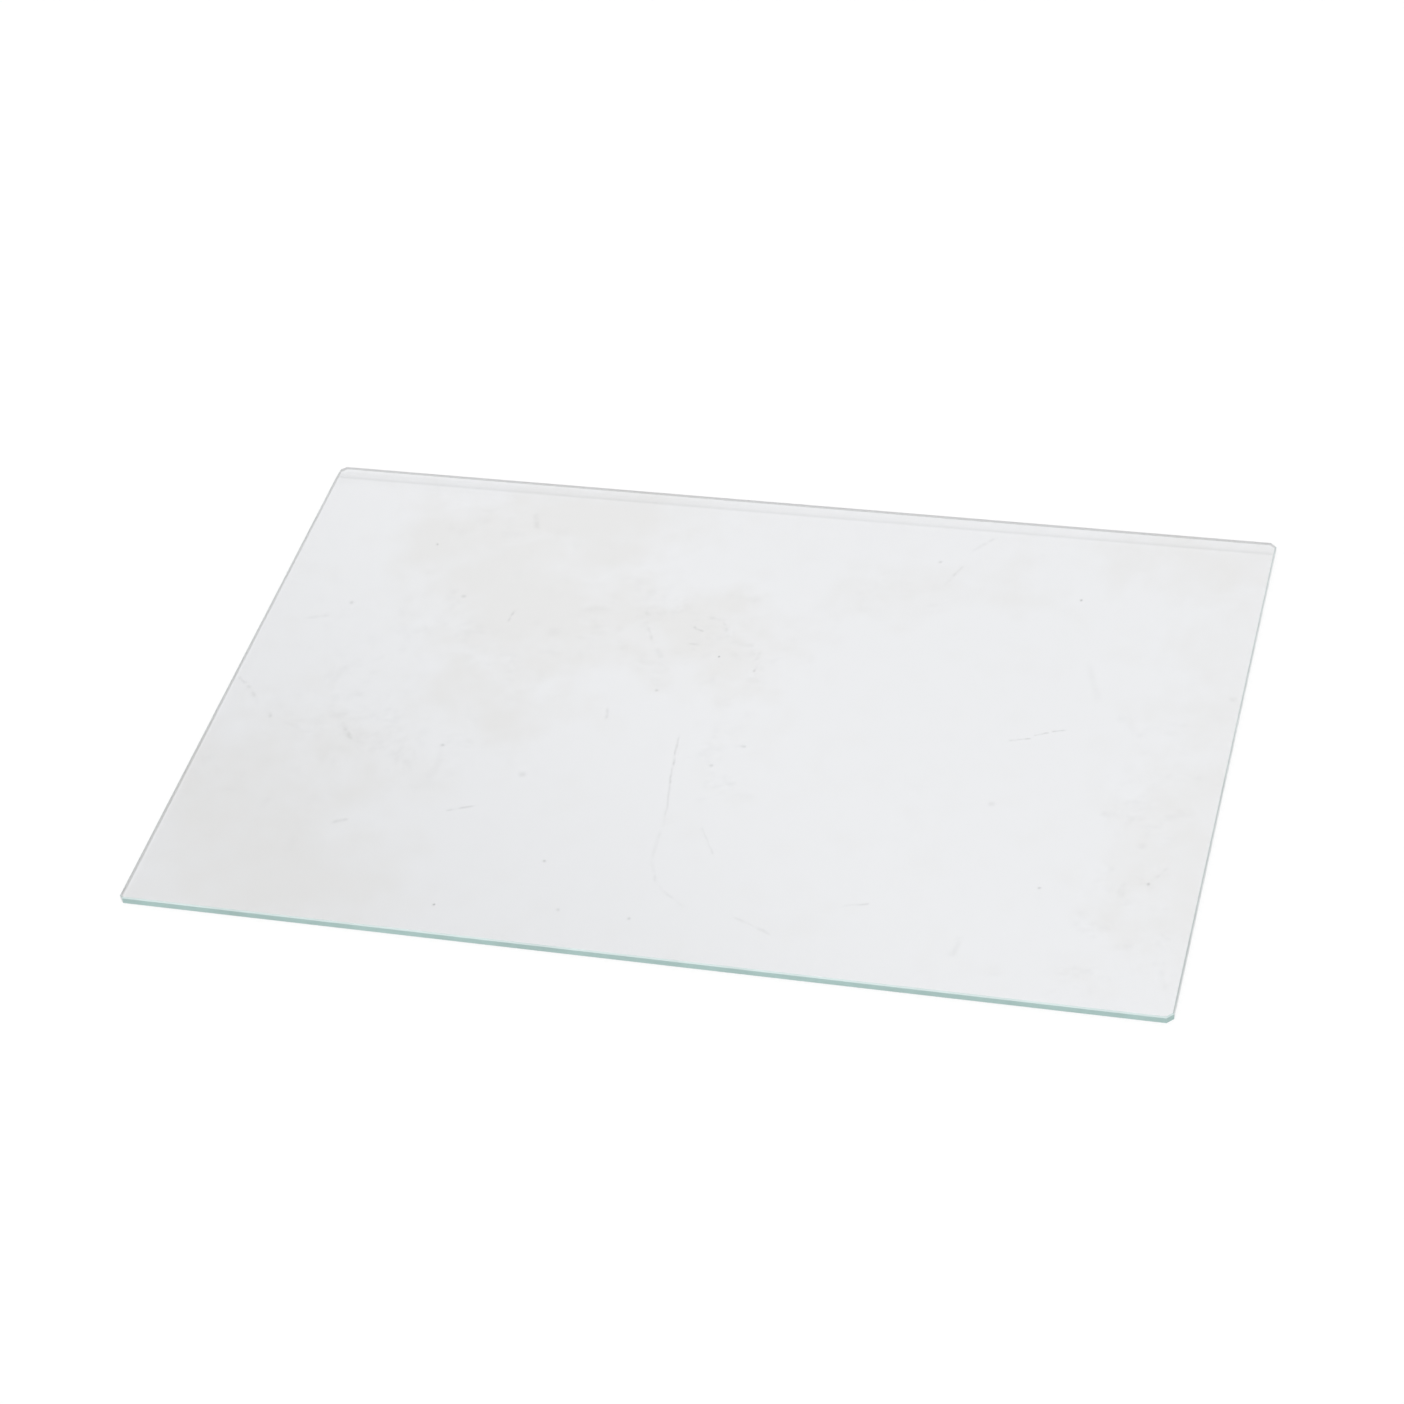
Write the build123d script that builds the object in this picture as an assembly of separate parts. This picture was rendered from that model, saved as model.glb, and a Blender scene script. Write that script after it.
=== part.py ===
"""Glass shelf of a household refrigerator: one pane of tempered float glass.

The pane lies flat on its underside, as it does on the side ledges of the cabinet.
X runs along the long front edge, Y from the front edge to the rear one and Z up.
The origin is the middle of the underside.
"""

import os

from build123d import *

# Driving dimensions, in millimetres
pane_width = 470.0  # left edge to right edge
pane_depth = 313.0  # front edge to rear edge
pane_thickness = 4.0  # underside to top
corner_clip = 2.8  # cut off each corner, along either edge
arris_width = 0.6  # ground off each sharp edge, measured down the wall
rear_bevel_width = 9.3  # strip ground along the rear edge of the top
rear_bevel_drop = 0.5  # fall of that strip from its inner line to the rear edge


def blank():
    """The pane as cut from the sheet: a rectangle with its four corners taken off."""
    outline = chamfer(Rectangle(pane_width, pane_depth).vertices(), length=corner_clip)
    return extrude(outline, amount=pane_thickness)


def grind(glass, point, outward):
    """Grinds one flat facet: the glass beyond the plane through point, facing outward, is gone."""
    return split(glass, bisect_by=Plane(point, z_dir=outward), keep=Keep.BOTTOM)


def grind_rear_bevel(glass):
    """The shallow strip along the rear edge of the top, from its inner line down to the rear wall."""
    inner_line = Vector(0, pane_depth / 2 - rear_bevel_width, pane_thickness)
    return grind(glass, inner_line, Vector(0, rear_bevel_drop, rear_bevel_width))


def sharp_edges(glass):
    """Every edge where a wall meets the top, the bevel or the underside."""
    walls = [face for face in glass.faces() if abs(face.normal_at().Z) < 0.5]
    wall_edges = ShapeList([edge for wall in walls for edge in wall.edges()])
    return wall_edges.filter_by(Axis.Z, reverse=True)


def grind_arris(glass, edge):
    """One arris: it starts on the wall, arris_width from the edge, and leans in at 45 degrees."""
    middle = edge.center()
    along = edge.tangent_at(0.5)
    inward = along.cross(Vector(0, 0, 1)).normalized()
    if inward.dot(middle) > 0:
        inward = -inward
    to_edge = Vector(0, 0, 1 if middle.Z > pane_thickness / 2 else -1)
    facing = along.cross(inward + to_edge)
    if facing.dot(inward) > 0:
        facing = -facing
    return grind(glass, middle - to_edge * arris_width, facing)


def glass_pane():
    """The finished pane: the blank, its rear bevel, then an arris along every sharp edge."""
    glass = grind_rear_bevel(blank())
    for edge in sharp_edges(glass):
        glass = grind_arris(glass, edge)
    return glass


os.makedirs("parts", exist_ok=True)
pane = glass_pane()
export_step(pane, "parts/glass_pane.step")
size = pane.bounding_box().size
print(f"glass_pane: {size.X:.2f} x {size.Y:.2f} x {size.Z:.2f} mm, {pane.volume / 1000:.2f} cm3")
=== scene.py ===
# %% [markdown]
# # A glass shelf for a refrigerator
#
# The object is one pane of tempered float glass, 4 mm thick, with polished faces and ground edges.
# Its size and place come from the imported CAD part, which is loaded first and never moved.
# Everything below is in metres, in the part's own frame: X along the front edge, Y to the rear, Z up.

# %% Load the part
import math

import bmesh
import bpy
from mathutils import Matrix, Vector


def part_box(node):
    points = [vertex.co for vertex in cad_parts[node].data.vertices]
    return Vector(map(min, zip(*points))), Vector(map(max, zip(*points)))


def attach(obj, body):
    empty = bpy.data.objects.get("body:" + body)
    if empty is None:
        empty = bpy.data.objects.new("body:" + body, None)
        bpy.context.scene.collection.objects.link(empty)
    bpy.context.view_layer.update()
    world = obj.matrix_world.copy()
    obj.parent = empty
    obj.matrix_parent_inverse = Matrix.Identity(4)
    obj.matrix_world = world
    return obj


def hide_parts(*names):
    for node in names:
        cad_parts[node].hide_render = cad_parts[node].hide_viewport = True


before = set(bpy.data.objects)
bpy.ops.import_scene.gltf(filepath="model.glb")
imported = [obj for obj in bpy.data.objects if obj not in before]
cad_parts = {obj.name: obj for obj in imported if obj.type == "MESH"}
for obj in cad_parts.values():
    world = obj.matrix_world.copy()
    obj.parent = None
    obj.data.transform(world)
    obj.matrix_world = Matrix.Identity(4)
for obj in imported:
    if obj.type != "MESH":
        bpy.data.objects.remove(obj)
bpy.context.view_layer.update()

low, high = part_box("glass_pane")
width, depth, thickness = high - low
print(f"pane: {width:.4f} x {depth:.4f} x {thickness:.4f} m")

# %% [markdown]
# ## Camera
#
# A rectangle seen in perspective tells where the camera stood: its two pairs of parallel edges run
# to two vanishing points. Here they gave a long lens, 1.7 m away, in front of the pane and to its
# right, looking down at 41 degrees and rolled a little to one side. An aim constraint could point
# the camera, but it would hold it level, so its three axes are written as the columns of a matrix.

# %% Camera
PICTURE_SIDE = 1404
SENSOR_WIDTH = 36.0
aim = Vector((-0.00916, 0.00932, 0.002))
view_distance = 1.7067
view_turn = math.radians(19.317)
view_height = math.radians(41.077)
view_roll = math.radians(7.454)
focal_pixels = 3705.2

forward = Vector((
    -math.sin(view_turn) * math.cos(view_height),
    math.cos(view_turn) * math.cos(view_height),
    -math.sin(view_height),
))
level = forward.cross(Vector((0, 0, 1))).normalized()
right = Matrix.Rotation(view_roll, 3, forward) @ level
up = right.cross(forward)

camera_data = bpy.data.cameras.new("camera")
camera_data.sensor_width = SENSOR_WIDTH
camera_data.lens = SENSOR_WIDTH * focal_pixels / PICTURE_SIDE
camera = bpy.data.objects.new("camera", camera_data)
bpy.context.collection.objects.link(camera)
camera_place = aim - forward * view_distance
axes = Matrix((right, up, -forward)).transposed().to_4x4()
camera.matrix_world = Matrix.Translation(camera_place) @ axes
bpy.context.scene.camera = camera
print(f"lens: {camera_data.lens:.1f} mm")


# %% Where the corners fall in the picture
def pixel_of(point):
    """The pixel, from the picture's top left corner, that shows a point."""
    way = Vector(point) - camera_place
    scale = focal_pixels / way.dot(forward)
    middle = PICTURE_SIDE / 2
    return middle + way.dot(right) * scale, middle - way.dot(up) * scale


for name, corner in {
    "rear left": (low.x, high.y, high.z),
    "rear right": (high.x, high.y, high.z),
    "front left": (low.x, low.y, low.z),
    "front right": (high.x, low.y, low.z),
}.items():
    print(f"{name} corner at pixel", [round(v, 1) for v in pixel_of(corner)])


# %% [markdown]
# ## Helpers for shader nodes
#
# A material is a tree of nodes. By hand, each node is added, set and wired in the node editor.
# These helpers do the same in one call, so the cells below read as a list of steps.

# %% Helpers for shader nodes
def add_node(tree, kind, inputs=None, **options):
    """Adds a shader node, sets its options and fills its inputs with values or links."""
    node = tree.nodes.new(f"ShaderNode{kind}")
    for name, value in options.items():
        setattr(node, name, value)
    for name, value in (inputs or {}).items():
        if isinstance(value, bpy.types.NodeSocket):
            tree.links.new(value, node.inputs[name])
        else:
            node.inputs[name].default_value = value
    return node


def compute(tree, operation, *inputs, **options):
    """Adds a Math node and returns its output."""
    return add_node(tree, "Math", dict(enumerate(inputs)), operation=operation, **options).outputs[0]


def vectors(tree, operation, *inputs):
    """Adds a Vector Math node."""
    return add_node(tree, "VectorMath", dict(enumerate(inputs)), operation=operation)


def map_range(tree, value, source, target, **options):
    """Adds a Map Range node: while value goes over source, the result goes over target."""
    return add_node(tree, "MapRange", {
        "Value": value,
        "From Min": source[0], "From Max": source[1],
        "To Min": target[0], "To Max": target[1],
    }, **options).outputs["Result"]


def empty_material(name):
    """A new material whose node tree is still empty."""
    material = bpy.data.materials.new(name)
    material.use_nodes = True
    material.node_tree.nodes.clear()
    return material, material.node_tree


# %% [markdown]
# ## Floor and light
#
# Glass has hardly a colour of its own: it shows what is behind it and mirrors what is around it.
# So the surroundings are part of its look. The floor is white paper. A studio could be built round
# it from walls and lamps, but a world that changes with direction does the same with a few values:
# a pale wall all round and a dim ceiling on the upper left, so that the mirror image in the pane
# fades from one to the other. To the camera the world is plain white, which hides the floor's far
# edge in low views, while the pane still mirrors wall and ceiling with both its faces. One very
# wide, soft lamp shines down from the front left.

# %% Floor
FLOOR_SIDE = 24.0
FLOOR_GAP = 0.0004
paper_white = (0.97, 0.97, 0.97, 1)

bpy.ops.object.select_all(action="DESELECT")
bpy.ops.mesh.primitive_plane_add(size=FLOOR_SIDE, location=(0, 0, low.z - FLOOR_GAP))
floor = bpy.context.object
floor.name = "floor"

paper, tree = empty_material("white_paper")
sheet = add_node(tree, "BsdfDiffuse", {"Color": paper_white})
add_node(tree, "OutputMaterial", {"Surface": sheet.outputs[0]})
floor.data.materials.append(paper)
print("floor:", FLOOR_SIDE, "m square")

# %% World
world_white = (1, 1, 1, 1)
dim_side = Vector((-0.6, 0.0, 0.8))
dim_rim = (0.667, 0.761)
wall_light = 0.8
ceiling_light = 0.12

world = bpy.data.worlds.new("studio")
bpy.context.scene.world = world
world.use_nodes = True
tree = world.node_tree
tree.nodes.clear()
direction = add_node(tree, "TexCoord").outputs["Generated"]
towards_dim = vectors(tree, "DOT_PRODUCT", direction, dim_side).outputs["Value"]
light = map_range(tree, towards_dim, dim_rim, (wall_light, ceiling_light), interpolation_type="SMOOTHSTEP")
seen = add_node(tree, "LightPath").outputs["Is Camera Ray"]
strength = compute(tree, "MAXIMUM", light, seen)
background = add_node(tree, "Background", {"Color": world_white, "Strength": strength})
add_node(tree, "OutputWorld", {"Surface": background.outputs[0]})
print("world: wall", wall_light, "ceiling", ceiling_light)

# %% Lamp
lamp_energy = 1.83
lamp_spread = math.radians(90)
lamp_way = Vector((0.2, 0.45, -1.0))

lamp_data = bpy.data.lights.new("soft_lamp", "SUN")
lamp_data.energy = lamp_energy
lamp_data.angle = lamp_spread
lamp = bpy.data.objects.new("soft_lamp", lamp_data)
bpy.context.collection.objects.link(lamp)
lamp.rotation_euler = lamp_way.to_track_quat("-Z", "Y").to_euler()

bpy.context.scene.view_settings.view_transform = "Standard"
print("lamp energy:", lamp_energy)

# %% [markdown]
# ## The pane
#
# A shelf pane is cut from a sheet, its four corners are clipped, and every sharp edge is ground
# before the glass is tempered. Blocks could be cut away from it with a Boolean, but a bevel makes
# such facets in one step and joins them in clean mitres, so the model follows the maker's own
# steps. It starts as a cube stretched to the pane's size. The corners come off with a bevel of the
# upright edges, a smaller one at the front left, where the wheel took less. A bisect takes off the
# shallow strip along the rear edge, and a narrow bevel round top and underside makes the arrises.

# %% Pane blank
bpy.ops.object.select_all(action="DESELECT")
bpy.ops.mesh.primitive_cube_add(size=1, location=(low + high) / 2)
pane = bpy.context.object
pane.name = "shelf_pane"
pane.scale = (width, depth, thickness)
bpy.ops.object.transform_apply(location=True, rotation=False, scale=True)
print("blank:", [round(side, 4) for side in pane.dimensions])

# %% Ways to pick edges
UPRIGHT_SLACK = thickness / 100


def pick_edges(wanted):
    """In edit mode, selects just the edges of the pane for which wanted(edge) is true."""
    mesh = bmesh.from_edit_mesh(pane.data)
    bpy.ops.mesh.select_all(action="DESELECT")
    chosen = [edge for edge in mesh.edges if wanted(edge)]
    for edge in chosen:
        edge.select_set(True)
    bmesh.update_edit_mesh(pane.data)
    return len(chosen)


def is_upright(edge):
    """True for an edge that runs from the underside to the top."""
    start, end = (corner.co for corner in edge.verts)
    return (start - end).to_2d().length < UPRIGHT_SLACK


def is_front_left(edge):
    """True for the upright edge at the front left corner."""
    return is_upright(edge) and edge.verts[0].co.x < 0 and edge.verts[0].co.y < 0


def is_other_corner(edge):
    """True for the upright edges at the other three corners."""
    return is_upright(edge) and not is_front_left(edge)


print("edges to pick from:", len(pane.data.edges))

# %% Corners
corner_clip = 0.0028
small_clip = 0.0016

bpy.ops.object.mode_set(mode="EDIT")
bpy.ops.mesh.select_mode(type="EDGE")
print("corners clipped:", pick_edges(is_other_corner))
bpy.ops.mesh.bevel(offset_type="OFFSET", offset=corner_clip, segments=1, affect="EDGES")
print("corners clipped less:", pick_edges(is_front_left))
bpy.ops.mesh.bevel(offset_type="OFFSET", offset=small_clip, segments=1, affect="EDGES")

# %% Rear strip and arrises
CUT_TOLERANCE = 1e-7
HALF_TILTED = 0.5
rear_bevel_width = 0.0093
rear_bevel_drop = 0.0005
arris_width = 0.0006


def is_sharp_rim(edge):
    """True where an upright wall meets the top, the rear strip or the underside."""
    facing = sorted(abs(face.normal.z) for face in edge.link_faces)
    return facing[0] < HALF_TILTED < facing[1]


bpy.ops.mesh.select_all(action="SELECT")
bpy.ops.mesh.bisect(
    plane_co=(0, high.y - rear_bevel_width, high.z),
    plane_no=Vector((0, rear_bevel_drop, rear_bevel_width)).normalized(),
    use_fill=True,
    clear_outer=True,
    threshold=CUT_TOLERANCE,
)
print("edges ground:", pick_edges(is_sharp_rim))
bpy.ops.mesh.bevel(offset_type="OFFSET", offset=arris_width, segments=1, affect="EDGES")
bpy.ops.mesh.select_all(action="SELECT")
bpy.ops.mesh.normals_make_consistent(inside=False)
bpy.ops.object.mode_set(mode="OBJECT")
print("pane faces:", len(pane.data.polygons))

# %% [markdown]
# ## Marks of use
#
# A shelf that has been wiped for years carries fine scratches, specks and a thin film of grease.
# They could be painted on an image, but that is one more file, and it blurs close up. A scratch is
# a short straight line, so two points say enough: its mask is the distance from a place to a line
# segment. One node group does that sum and serves every kind of mark. A scratch has two ends and a
# narrow width, a speck has both ends in one place, and a greasy patch is some centimetres wide.
# Each mark takes the mask so far as Under and gives back the stronger of the two, so marks follow
# each other in a row. The group is limited by Minimum and Maximum nodes: the clamp option of Math
# and Map Range, repeated for so many marks, makes the shader too big for the renderer.

# %% Node group for one mark
def scaled(tree, vector, scale):
    """A vector or colour times a number."""
    return add_node(tree, "VectorMath", {0: vector, "Scale": scale}, operation="SCALE").outputs[0]


mark_group = bpy.data.node_groups.new("Mark", "ShaderNodeTree")
for name, kind in {
    "Under": "NodeSocketFloat",
    "Place": "NodeSocketVector",
    "From": "NodeSocketVector",
    "To": "NodeSocketVector",
    "Width": "NodeSocketFloat",
    "Strength": "NodeSocketFloat",
}.items():
    mark_group.interface.new_socket(name, in_out="INPUT", socket_type=kind)
mark_group.interface.new_socket("Mask", in_out="OUTPUT", socket_type="NodeSocketFloat")

given = mark_group.nodes.new("NodeGroupInput").outputs
along = vectors(mark_group, "SUBTRACT", given["To"], given["From"]).outputs[0]
offset = vectors(mark_group, "SUBTRACT", given["Place"], given["From"]).outputs[0]
reach = vectors(mark_group, "DOT_PRODUCT", offset, along).outputs["Value"]
length = vectors(mark_group, "DOT_PRODUCT", along, along).outputs["Value"]
share = compute(mark_group, "DIVIDE", reach, length)
share = compute(mark_group, "MINIMUM", compute(mark_group, "MAXIMUM", share, 0.0), 1.0)
foot = scaled(mark_group, along, share)
distance = vectors(mark_group, "DISTANCE", offset, foot).outputs["Value"]
faded = map_range(mark_group, distance, (0.0, given["Width"]), (given["Strength"], 0.0),
                  interpolation_type="SMOOTHSTEP", clamp=False)
over = compute(mark_group, "MAXIMUM", given["Under"], faded)
result = mark_group.nodes.new("NodeGroupOutput")
mark_group.links.new(over, result.inputs["Mask"])
print("nodes in a mark:", len(mark_group.nodes))

# %% Ways to lay marks
MM = 0.001


def on_top_face(x, y):
    """A place on the top face, given in millimetres from the middle of the pane."""
    return (x * MM, y * MM, high.z)


def add_marks(tree, place, marks):
    """Adds a Mark group for each stretch of each mark, one over the other, and returns the last mask."""
    mask = None
    for mark_width, mark_strength, points in marks.values():
        stretches = zip(points, points[1:] or points)
        for start, end in stretches:
            mark = add_node(tree, "Group", node_tree=mark_group)
            if mask:
                tree.links.new(mask, mark.inputs["Under"])
            tree.links.new(place, mark.inputs["Place"])
            mark.inputs["From"].default_value = on_top_face(*start)
            mark.inputs["To"].default_value = on_top_face(*end)
            mark.inputs["Width"].default_value = mark_width * MM
            mark.inputs["Strength"].default_value = mark_strength
            mask = mark.outputs["Mask"]
    return mask


# %% Ways to make marks look natural
NOISE_MIDDLE = (0.5, 0.5, 0.5)


def noise(tree, place, scale, detail, roughness=0.5):
    """Adds a Noise Texture node and returns its outputs, the plain value first."""
    return add_node(tree, "TexNoise", {
        "Vector": place, "Scale": scale, "Detail": detail, "Roughness": roughness,
    }).outputs


def shaken(tree, place, scale, detail, reach):
    """The place moved about by noise, so that what is drawn there gets a natural outline."""
    colour = noise(tree, place, scale, detail)["Color"]
    centred = vectors(tree, "SUBTRACT", colour, NOISE_MIDDLE).outputs[0]
    return vectors(tree, "ADD", place, scaled(tree, centred, reach)).outputs[0]


# %% [markdown]
# ## Light that passes through
#
# A pane on white paper throws only a faint shadow, since most of the light goes through it. A path
# tracer could follow that light as caustics, but that takes long and stays grainy. So the rays that
# carry light to the floor pass straight through, a little dimmed, and all other rays meet the real
# glass. Both finishes end this way, or the rim would cast a dark band that clear glass lacks.

# %% Light that passes through
lit_tint = (0.94, 0.945, 0.945, 1)


def let_light_through(tree, shader):
    """Ends a material: the camera sees its shader, while light falls straight through to the floor."""
    path = add_node(tree, "LightPath").outputs
    lighting = compute(tree, "MAXIMUM", path["Is Shadow Ray"], path["Is Diffuse Ray"])
    clear = add_node(tree, "BsdfTransparent", {"Color": lit_tint})
    surface = add_node(tree, "MixShader", {0: lighting, 1: shader.outputs[0], 2: clear.outputs[0]})
    add_node(tree, "OutputMaterial", {"Surface": surface.outputs[0]})


print("light left after each face:", lit_tint[:3])

# %% [markdown]
# ## Polished glass
#
# The two broad faces are as the float line left them, smooth and clear. The marks of use lie on the
# top alone. Each face could have a material of its own, but they are the same glass, so they share
# one, and every mask is cut off below the middle of the pane. The masks come first, the shader last.

# %% Start of the polished glass
polished, tree = empty_material("polished_glass")
place = add_node(tree, "TexCoord").outputs["Object"]
coordinate = add_node(tree, "SeparateXYZ", {0: place}).outputs
on_top = compute(tree, "GREATER_THAN", coordinate["Z"], thickness / 2)
print("marks lie above", round(thickness / 2, 4), "m")

# %% [markdown]
# ## Film
#
# Grease from hands and cloths dries to faint grey clouds. Noise alone would spread them evenly, and
# wide marks alone would be neat ovals. So the marks say where the clouds lie, noise shakes their
# outline, and finer blotches thicken them here and wipe them clean there.

# %% Film patches: width in millimetres, strength, points in millimetres
film_patches = {
    "rear left": (55.0, 1.1, [(-160.0, 112.0), (-75.0, 132.0)]),
    "left of the middle": (65.0, 1.3, [(-125.0, 78.0), (-85.0, 55.0)]),
    "middle": (48.0, 1.1, [(-55.0, 62.0), (-5.0, 45.0)]),
    "left middle": (42.0, 0.9, [(-120.0, 5.0), (-92.0, -8.0)]),
    "left smudge": (45.0, 0.8, [(-165.0, -48.0), (-150.0, -60.0)]),
    "lower left": (85.0, 1.0, [(-218.0, -80.0), (-165.0, -140.0)]),
    "front left corner": (40.0, 0.5, [(-236.0, -105.0), (-228.0, -155.0)]),
    "rear right": (34.0, 0.5, [(45.0, 100.0), (115.0, 102.0)]),
    "rear corner": (40.0, 0.8, [(175.0, 132.0), (228.0, 130.0)]),
    "right edge": (45.0, 0.5, [(230.0, 95.0), (226.0, 0.0)]),
    "right edge, front": (45.0, 0.75, [(224.0, -20.0), (222.0, -105.0)]),
}
print("film patches:", len(film_patches))

# %% Film
blotch_share = 0.5

film_place = shaken(tree, place, scale=28.0, detail=4.0, reach=0.09)
film = add_marks(tree, film_place, film_patches)
blotches = noise(tree, place, scale=48.0, detail=7.0, roughness=0.7)[0]
blotches = map_range(tree, blotches, source=(0.36, 0.72), target=(-0.5, 0.7))
film = compute(tree, "ADD", film, compute(tree, "MULTIPLY", blotches, blotch_share), use_clamp=True)
film = compute(tree, "MULTIPLY", film, on_top)
print("glass nodes with the film:", len(tree.nodes))

# %% [markdown]
# ## Scratches and specks
#
# A scratch is never quite straight, and it skips where the grit bounced. Many points could bend
# each line, but it is simpler to shake the place by less than a millimetre and to break the lines
# up with a fine noise. Specks are dried drops and grains, and they are only shaken.

# %% Scratches: width in millimetres, strength, points in millimetres
scratches = {
    "long hairline": (1.0, 0.26, [(-13.0, -18.0), (-11.2, -34.0), (-9.2, -48.0)]),
    "long hairline, lower half": (1.0, 0.15, [(-9.2, -48.0), (-6.4, -63.0), (-5.2, -76.0)]),
    "long hairline, tail": (1.4, 0.1, [(-5.2, -80.0), (-4.6, -98.0), (2.0, -113.0), (18.0, -125.0)]),
    "far tail": (1.6, 0.1, [(40.0, -127.0), (57.0, -134.0)]),
    "right scratch": (0.9, 0.26, [(136.5, 1.3), (145.0, 4.1)]),
    "right scratch, middle": (0.9, 0.38, [(147.0, 6.5), (152.5, 8.8)]),
    "right scratch, end": (0.9, 0.25, [(154.5, 10.0), (159.4, 11.4)]),
    "left scratch": (1.1, 0.22, [(-104.5, -80.6), (-93.0, -75.4)]),
    "front scratch": (1.1, 0.19, [(86.3, -112.5), (95.6, -110.2)]),
    "bent smear, rear": (1.9, 0.2, [(-51.0, 68.0), (-48.8, 62.0)]),
    "bent smear, middle": (1.3, 0.14, [(-47.0, 55.0), (-42.0, 45.0)]),
    "bent smear, front": (2.4, 0.09, [(-38.5, 40.0), (-33.5, 33.0)]),
    "curled smear, rear": (2.0, 0.16, [(-19.0, 66.0), (-13.0, 65.0)]),
    "curled smear, middle": (1.5, 0.13, [(-11.5, 63.0), (-8.0, 54.0)]),
    "curled smear, front": (2.4, 0.08, [(-4.0, 50.0), (5.0, 49.0)]),
    "short smear": (1.5, 0.08, [(10.0, 44.5), (9.4, 39.5)]),
    "short smear, end": (1.2, 0.14, [(10.9, 36.0), (10.3, 32.0)]),
    "thin scratch": (0.9, 0.14, [(12.5, -75.0), (18.0, -84.0), (21.3, -90.0)]),
    "rear scratch": (1.8, 0.12, [(101.9, 141.0), (94.4, 132.0)]),
    "rear scratch, darker end": (1.5, 0.15, [(91.3, 118.5), (85.6, 104.5)]),
    "edge scratch": (1.8, 0.12, [(-231.0, -7.0), (-224.0, -13.0), (-217.0, -22.0)]),
    "edge scratch, end": (1.5, 0.22, [(-209.5, -28.5), (-207.3, -31.0)]),
    "left smear": (2.0, 0.2, [(-171.0, -31.0), (-164.5, -40.0)]),
    "small smear": (1.7, 0.18, [(-154.0, -95.8), (-149.0, -93.0)]),
    "upright dash": (1.2, 0.26, [(-114.4, 59.0), (-115.0, 51.0)]),
    "rear streak": (2.6, 0.12, [(-124.5, 130.0), (-121.5, 122.0)]),
    "right streak": (2.6, 0.06, [(163.0, 56.0), (171.0, 33.0)]),
    "corner streak": (1.6, 0.13, [(213.5, -78.0), (218.5, -70.0)]),
    "corner smudge": (2.4, 0.06, [(226.0, -131.0), (228.8, -140.0)]),
    "front smudge": (2.6, 0.09, [(138.8, -125.0), (138.0, -135.0)]),
    "dashes on the left": (2.0, 0.1, [(-212.5, 39.5), (-203.8, 43.3)]),
    "pair, rear": (1.3, 0.25, [(-25.0, 58.0), (-21.0, 56.3)]),
    "pair, front": (1.3, 0.18, [(-24.0, 46.2), (-18.5, 46.6)]),
    "dark dash": (1.3, 0.24, [(15.0, -19.8), (19.0, -19.8)]),
    "short dash": (1.3, 0.17, [(-50.6, -4.0), (-49.6, -10.0)]),
}
print("scratches:", len(scratches))

# %% Specks: width in millimetres, strength, place in millimetres
specks = {
    "front speck": (1.0, 0.7, [(-92.5, -139.4)]),
    "right speck": (1.1, 0.36, [(166.6, -89.4)]),
    "rear speck": (1.0, 0.6, [(150.9, 102.0)]),
    "middle speck": (1.0, 0.6, [(-8.4, 39.3)]),
    "speck by the hairline": (1.4, 0.3, [(-31.3, 12.0)]),
    "left speck": (1.7, 0.32, [(-120.0, -38.5)]),
    "smear's end": (1.2, 0.24, [(-164.4, -40.2)]),
    "low speck": (1.4, 0.3, [(-51.5, -105.4)]),
    "corner speck": (1.6, 0.4, [(212.5, -80.0)]),
    "dash's end": (1.0, 0.36, [(10.3, 31.5)]),
    "upper left speck": (1.3, 0.42, [(-166.9, 102.0)]),
    "dot": (2.0, 0.22, [(-142.0, 65.4)]),
    "dot on the left": (2.0, 0.2, [(-195.3, 53.3)]),
    "soft dot": (1.4, 0.24, [(6.5, -34.3)]),
    "front dot": (1.6, 0.2, [(-37.0, -134.2)]),
    "front dot, right": (1.5, 0.24, [(-5.0, -134.6)]),
    "rear dot": (1.6, 0.26, [(80.0, 121.0)]),
    "soft round": (2.4, 0.13, [(136.3, -40.6)]),
    "soft round, left": (2.8, 0.16, [(-77.3, -52.5)]),
    "wide round": (5.0, 0.07, [(-91.0, 46.0)]),
    "grey round": (3.0, 0.08, [(206.0, -57.5)]),
    "edge round": (2.4, 0.1, [(230.6, 42.6)]),
}
print("specks:", len(specks))

# %% Scratches and specks
mark_place = shaken(tree, place, scale=220.0, detail=2.0, reach=1.4 * MM)
dark_marks = add_marks(tree, mark_place, scratches)
broken = noise(tree, place, scale=300.0, detail=3.0)[0]
broken = map_range(tree, broken, source=(0.4, 0.58), target=(0.2, 1.0))
dark_marks = compute(tree, "MULTIPLY", dark_marks, broken)
dark_marks = compute(tree, "MAXIMUM", dark_marks, add_marks(tree, mark_place, specks))
print("glass nodes with scratches and specks:", len(tree.nodes))

# %% [markdown]
# ## Dust
#
# Between the scratches lie hundreds of faint flecks. Grains could be scattered as tiny pieces, but
# they are too many and too flat to be worth it. A rough noise makes a fleck wherever it rises above
# a limit, and wide marks lift the noise in the places where the flecks crowd together.

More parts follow.
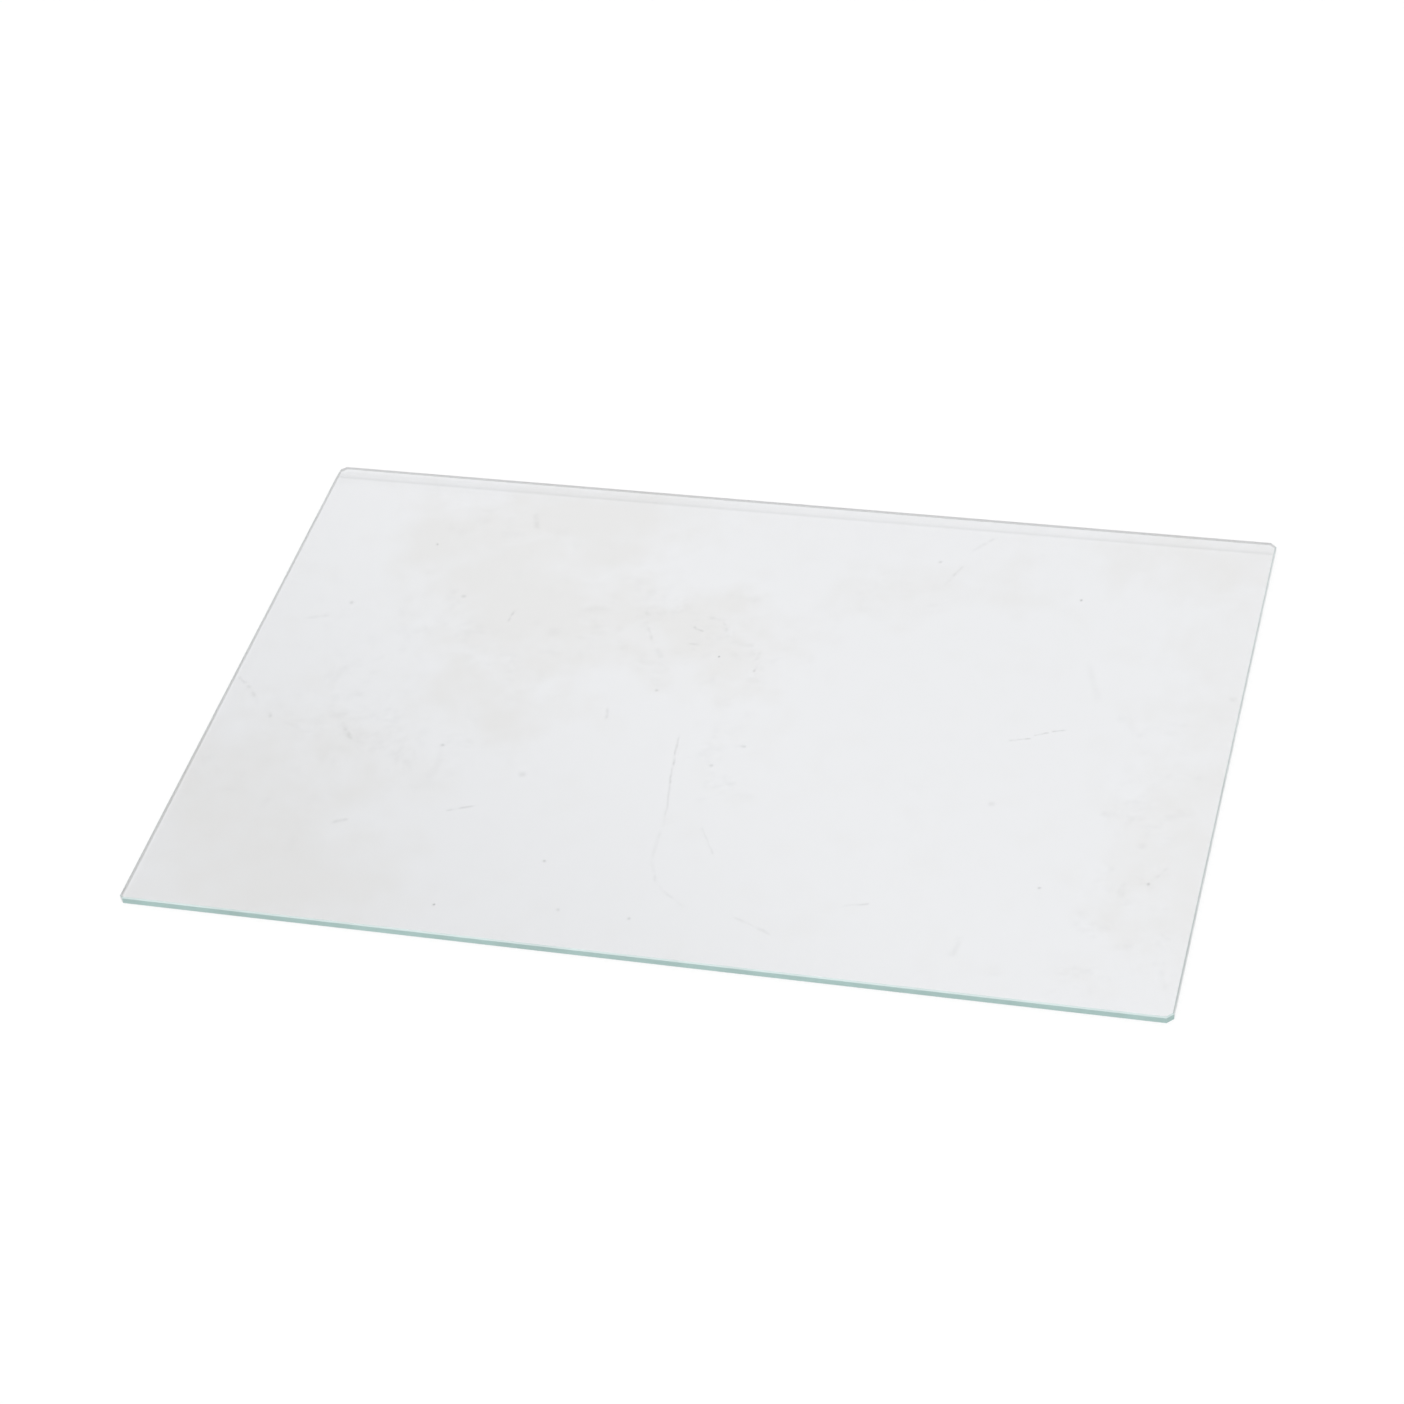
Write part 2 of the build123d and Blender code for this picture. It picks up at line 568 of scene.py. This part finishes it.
# %% Dusty patches: width in millimetres, strength, points in millimetres
dusty_patches = {
    "left band": (65.0, 1.0, [(-185.0, -8.0), (-120.0, -40.0)]),
    "left of the middle": (60.0, 0.75, [(-165.0, 52.0), (-95.0, 30.0)]),
    "middle": (55.0, 0.95, [(-52.0, 72.0), (10.0, 30.0)]),
    "rear left": (45.0, 0.6, [(-130.0, 122.0), (-105.0, 98.0)]),
    "left edge": (45.0, 0.7, [(-222.0, 75.0), (-190.0, 38.0)]),
    "lower left": (60.0, 0.85, [(-218.0, -68.0), (-185.0, -85.0)]),
    "by the hairline": (35.0, 0.6, [(-2.0, -8.0), (14.0, -42.0)]),
    "right edge": (34.0, 0.75, [(196.0, 8.0), (207.0, -60.0), (203.0, -135.0)]),
    "front right": (30.0, 0.75, [(128.0, -122.0), (146.0, -136.0)]),
    "rear right": (40.0, 0.5, [(60.0, 105.0), (110.0, 98.0)]),
}
print("dusty patches:", len(dusty_patches))

# %% Dust
crowded_share = 0.2
dusty_share = 0.12
dust_strength = 0.12

dust = noise(tree, place, scale=120.0, detail=7.0, roughness=0.74)[0]
crowded = noise(tree, place, scale=14.0, detail=2.0)[0]
dust = compute(tree, "ADD", dust, compute(tree, "MULTIPLY", crowded, crowded_share))
dusty = add_marks(tree, film_place, dusty_patches)
dust = compute(tree, "ADD", dust, compute(tree, "MULTIPLY", dusty, dusty_share))
dust = map_range(tree, dust, source=(0.71, 0.97), target=(0.0, dust_strength))
dark_marks = compute(tree, "MAXIMUM", dark_marks, dust)
print("glass nodes with the dust:", len(tree.nodes))

# %% [markdown]
# ## Rear line
#
# Along the shallow break where the rear strip begins, the glass is darker in a thin line. A mark
# could be laid along it, but a mark fades alike to both sides. This line rises quickly on the inner
# side and dies away over the first millimetres of the strip, so it is the lower of two ramps across the
# break.

# %% Rear line
line_strength = 0.18
strip_strength = 0.07
break_line = high.y - rear_bevel_width


def behind_break(start, end):
    """A range across the break, given in millimetres behind it."""
    return (break_line + start * MM, break_line + end * MM)


# A thin darker line along the break of the rear strip, fading out over the strip.
rising = map_range(tree, coordinate["Y"], behind_break(-1.3, -0.2), (0.0, line_strength))
falling = map_range(tree, coordinate["Y"], behind_break(-0.4, 1.8), (line_strength, strip_strength))
ending = map_range(tree, coordinate["Y"], behind_break(0.6, 4.6), (1.0, 0.0))
falling = compute(tree, "MULTIPLY", falling, ending)
dark_marks = compute(tree, "MAXIMUM", dark_marks, compute(tree, "MINIMUM", rising, falling))
dark_marks = compute(tree, "MULTIPLY", dark_marks, on_top)
print(f"rear line at {break_line:.4f} m")

# %% [markdown]
# ## Glass shader
#
# Clear glass lets nearly all light through and bends it. A Glass shader would do for a render, but
# a Principled one with full transmission also goes into an exported model. The film greys its
# colour, the scratches, specks, dust and the rear line darken it, and all of them take some of its
# polish.

# %% Glass shader
MIX_SHARE, MIX_FIRST, MIX_SECOND, MIX_RESULT = 0, 6, 7, 2
GLASS_IOR = 1.52
clean_tint = (0.945, 0.945, 0.962, 1)
film_tint = (0.878, 0.862, 0.845, 1)
dark_tint = (0.05, 0.05, 0.05, 1)
film_dulling = 0.1
polished_rough = 0.02
scored_rough = 0.3


def blend(tree, share, first, second):
    """Adds a Mix node for two colours and returns its output."""
    return add_node(tree, "Mix", {
        MIX_SHARE: share, MIX_FIRST: first, MIX_SECOND: second,
    }, data_type="RGBA").outputs[MIX_RESULT]


tint = blend(tree, film, clean_tint, film_tint)
tint = blend(tree, dark_marks, tint, dark_tint)
dulled = compute(tree, "MAXIMUM", dark_marks, compute(tree, "MULTIPLY", film, film_dulling))
glass = add_node(tree, "BsdfPrincipled", {
    "Base Color": tint,
    "Roughness": map_range(tree, dulled, (0.0, 1.0), (polished_rough, scored_rough)),
    "IOR": GLASS_IOR,
    "Transmission Weight": 1.0,
})
let_light_through(tree, glass)
print("glass nodes in all:", len(tree.nodes))

# %% [markdown]
# ## Ground edge
#
# The wheel leaves the edge satin. From the front it has the green of the iron in the glass, seen
# through the whole depth of the pane. The short sides and the clips on the left are greyer with a
# painted sheen, the light they mirror at a flat angle, and this grey grows lighter towards the rear
# as painted light. The tilted arrises on the front carry a lighter painted highlight. Light followed
# through the glass could give such colours, but only after hundreds of bounces. So this light and
# shade is painted into the colour, mixed by the way each facet faces: forward or sideways, and
# upright as a wall or tilted as an arris.

# %% Colours of the edge
# Painted light: the arris colour is a painted highlight, the side colours a painted sheen.
wall_green = (0.329, 0.464, 0.444, 1)
arris_highlight = (0.656, 0.737, 0.733, 1)
side_wall_sheen = (0.68, 0.705, 0.705, 1)
side_arris_sheen = (0.397, 0.45, 0.45, 1)
side_sharpness = 1.5
rear_brightening = 1.18

ground, tree = empty_material("ground_edge")
place = add_node(tree, "TexCoord").outputs["Object"]
facing = add_node(tree, "NewGeometry").outputs
normal = add_node(tree, "SeparateXYZ", {0: facing["True Normal"]}).outputs
outward = vectors(tree, "ABSOLUTE", facing["True Normal"]).outputs[0]
outward = add_node(tree, "SeparateXYZ", {0: outward}).outputs
leftward = compute(tree, "MULTIPLY", normal["X"], -1.0)
sideways = compute(tree, "SUBTRACT", outward["X"], outward["Y"])
sideways = compute(tree, "MAXIMUM", sideways, leftward)
sideways = compute(tree, "MULTIPLY", sideways, side_sharpness, use_clamp=True)
green = blend(tree, outward["Z"], wall_green, arris_highlight)
grey = blend(tree, outward["Z"], side_wall_sheen, side_arris_sheen)
to_rear = add_node(tree, "SeparateXYZ", {0: place}).outputs["Y"]
# Painted light: the side colour grows lighter towards the rear.
painted_rear_light = map_range(tree, to_rear, (low.y, high.y), (1.0, rear_brightening))
edge_tint = blend(tree, sideways, green, scaled(tree, grey, painted_rear_light))
print("front wall:", wall_green[:3], "side wall:", side_wall_sheen[:3])

# %% [markdown]
# ## Grinding lines
#
# The wheel runs along the edge and leaves fine lines there. Cutting them as geometry would take a
# mesh far too fine for what shows. Noise is alike in every direction, so its space is stretched,
# close across the edge and wide along it, and the lines shade the colour, vary the roughness and
# lift the surface as a bump. A coarser noise makes the colour uneven along the edge.

# %% Grinding lines
line_stretch = (60.0, 60.0, 4000.0)
line_share = 0.4
uneven_share = 0.6
noise_span = (0.3, 0.7)
shade_span = (0.88, 1.12)
satin_span = (0.36, 0.54)
bump_strength = 0.25
bump_height = 0.1 * MM

lines = add_node(tree, "Mapping", {"Vector": place, "Scale": line_stretch}).outputs[0]
lines = noise(tree, lines, scale=1.0, detail=3.0)[0]
uneven = noise(tree, place, scale=55.0, detail=3.0)[0]
ground_look = compute(tree, "ADD", compute(tree, "MULTIPLY", lines, line_share),
                      compute(tree, "MULTIPLY", uneven, uneven_share))
shade = map_range(tree, ground_look, noise_span, shade_span)
edge_rough = map_range(tree, lines, noise_span, satin_span)
scored = add_node(tree, "Bump", {
    "Height": lines, "Strength": bump_strength, "Distance": bump_height,
}).outputs[0]
print("roughness of the edge:", satin_span)

# %% [markdown]
# ## Edge shader
#
# From outside the edge is satin. From inside, through the polished faces, it is a frosted wall that
# glows with the light behind it. Two shells could show this, but Geometry's Backfacing already
# tells which side of a face is seen, so one shell with two shaders is enough.

# %% Edge shader
edge_inside = (0.70, 0.705, 0.705, 1)

satin = add_node(tree, "BsdfPrincipled", {
    "Base Color": scaled(tree, edge_tint, shade),
    "Roughness": edge_rough,
    "IOR": GLASS_IOR,
    "Normal": scored,
})
frosted = add_node(tree, "BsdfTranslucent", {"Color": edge_inside})
edge = add_node(tree, "MixShader", {
    0: facing["Backfacing"], 1: satin.outputs[0], 2: frosted.outputs[0],
})
let_light_through(tree, edge)
print("edge nodes:", len(tree.nodes))

# %% [markdown]
# ## Finishes on the pane
#
# The top, the rear strip and the underside are polished, and all walls, clips and arrises are
# ground. The faces could be picked one by one, but their normals already tell the two kinds apart.

# %% Finishes on the pane
POLISHED, GROUND = 0, 1
NEARLY_FLAT = 0.9

pane.data.materials.append(polished)
pane.data.materials.append(ground)
for face in pane.data.polygons:
    face.material_index = POLISHED if abs(face.normal.z) > NEARLY_FLAT else GROUND
print("ground faces:", sum(face.material_index == GROUND for face in pane.data.polygons))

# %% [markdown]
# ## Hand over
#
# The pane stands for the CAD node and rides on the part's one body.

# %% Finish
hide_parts("glass_pane")
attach(pane, "root")
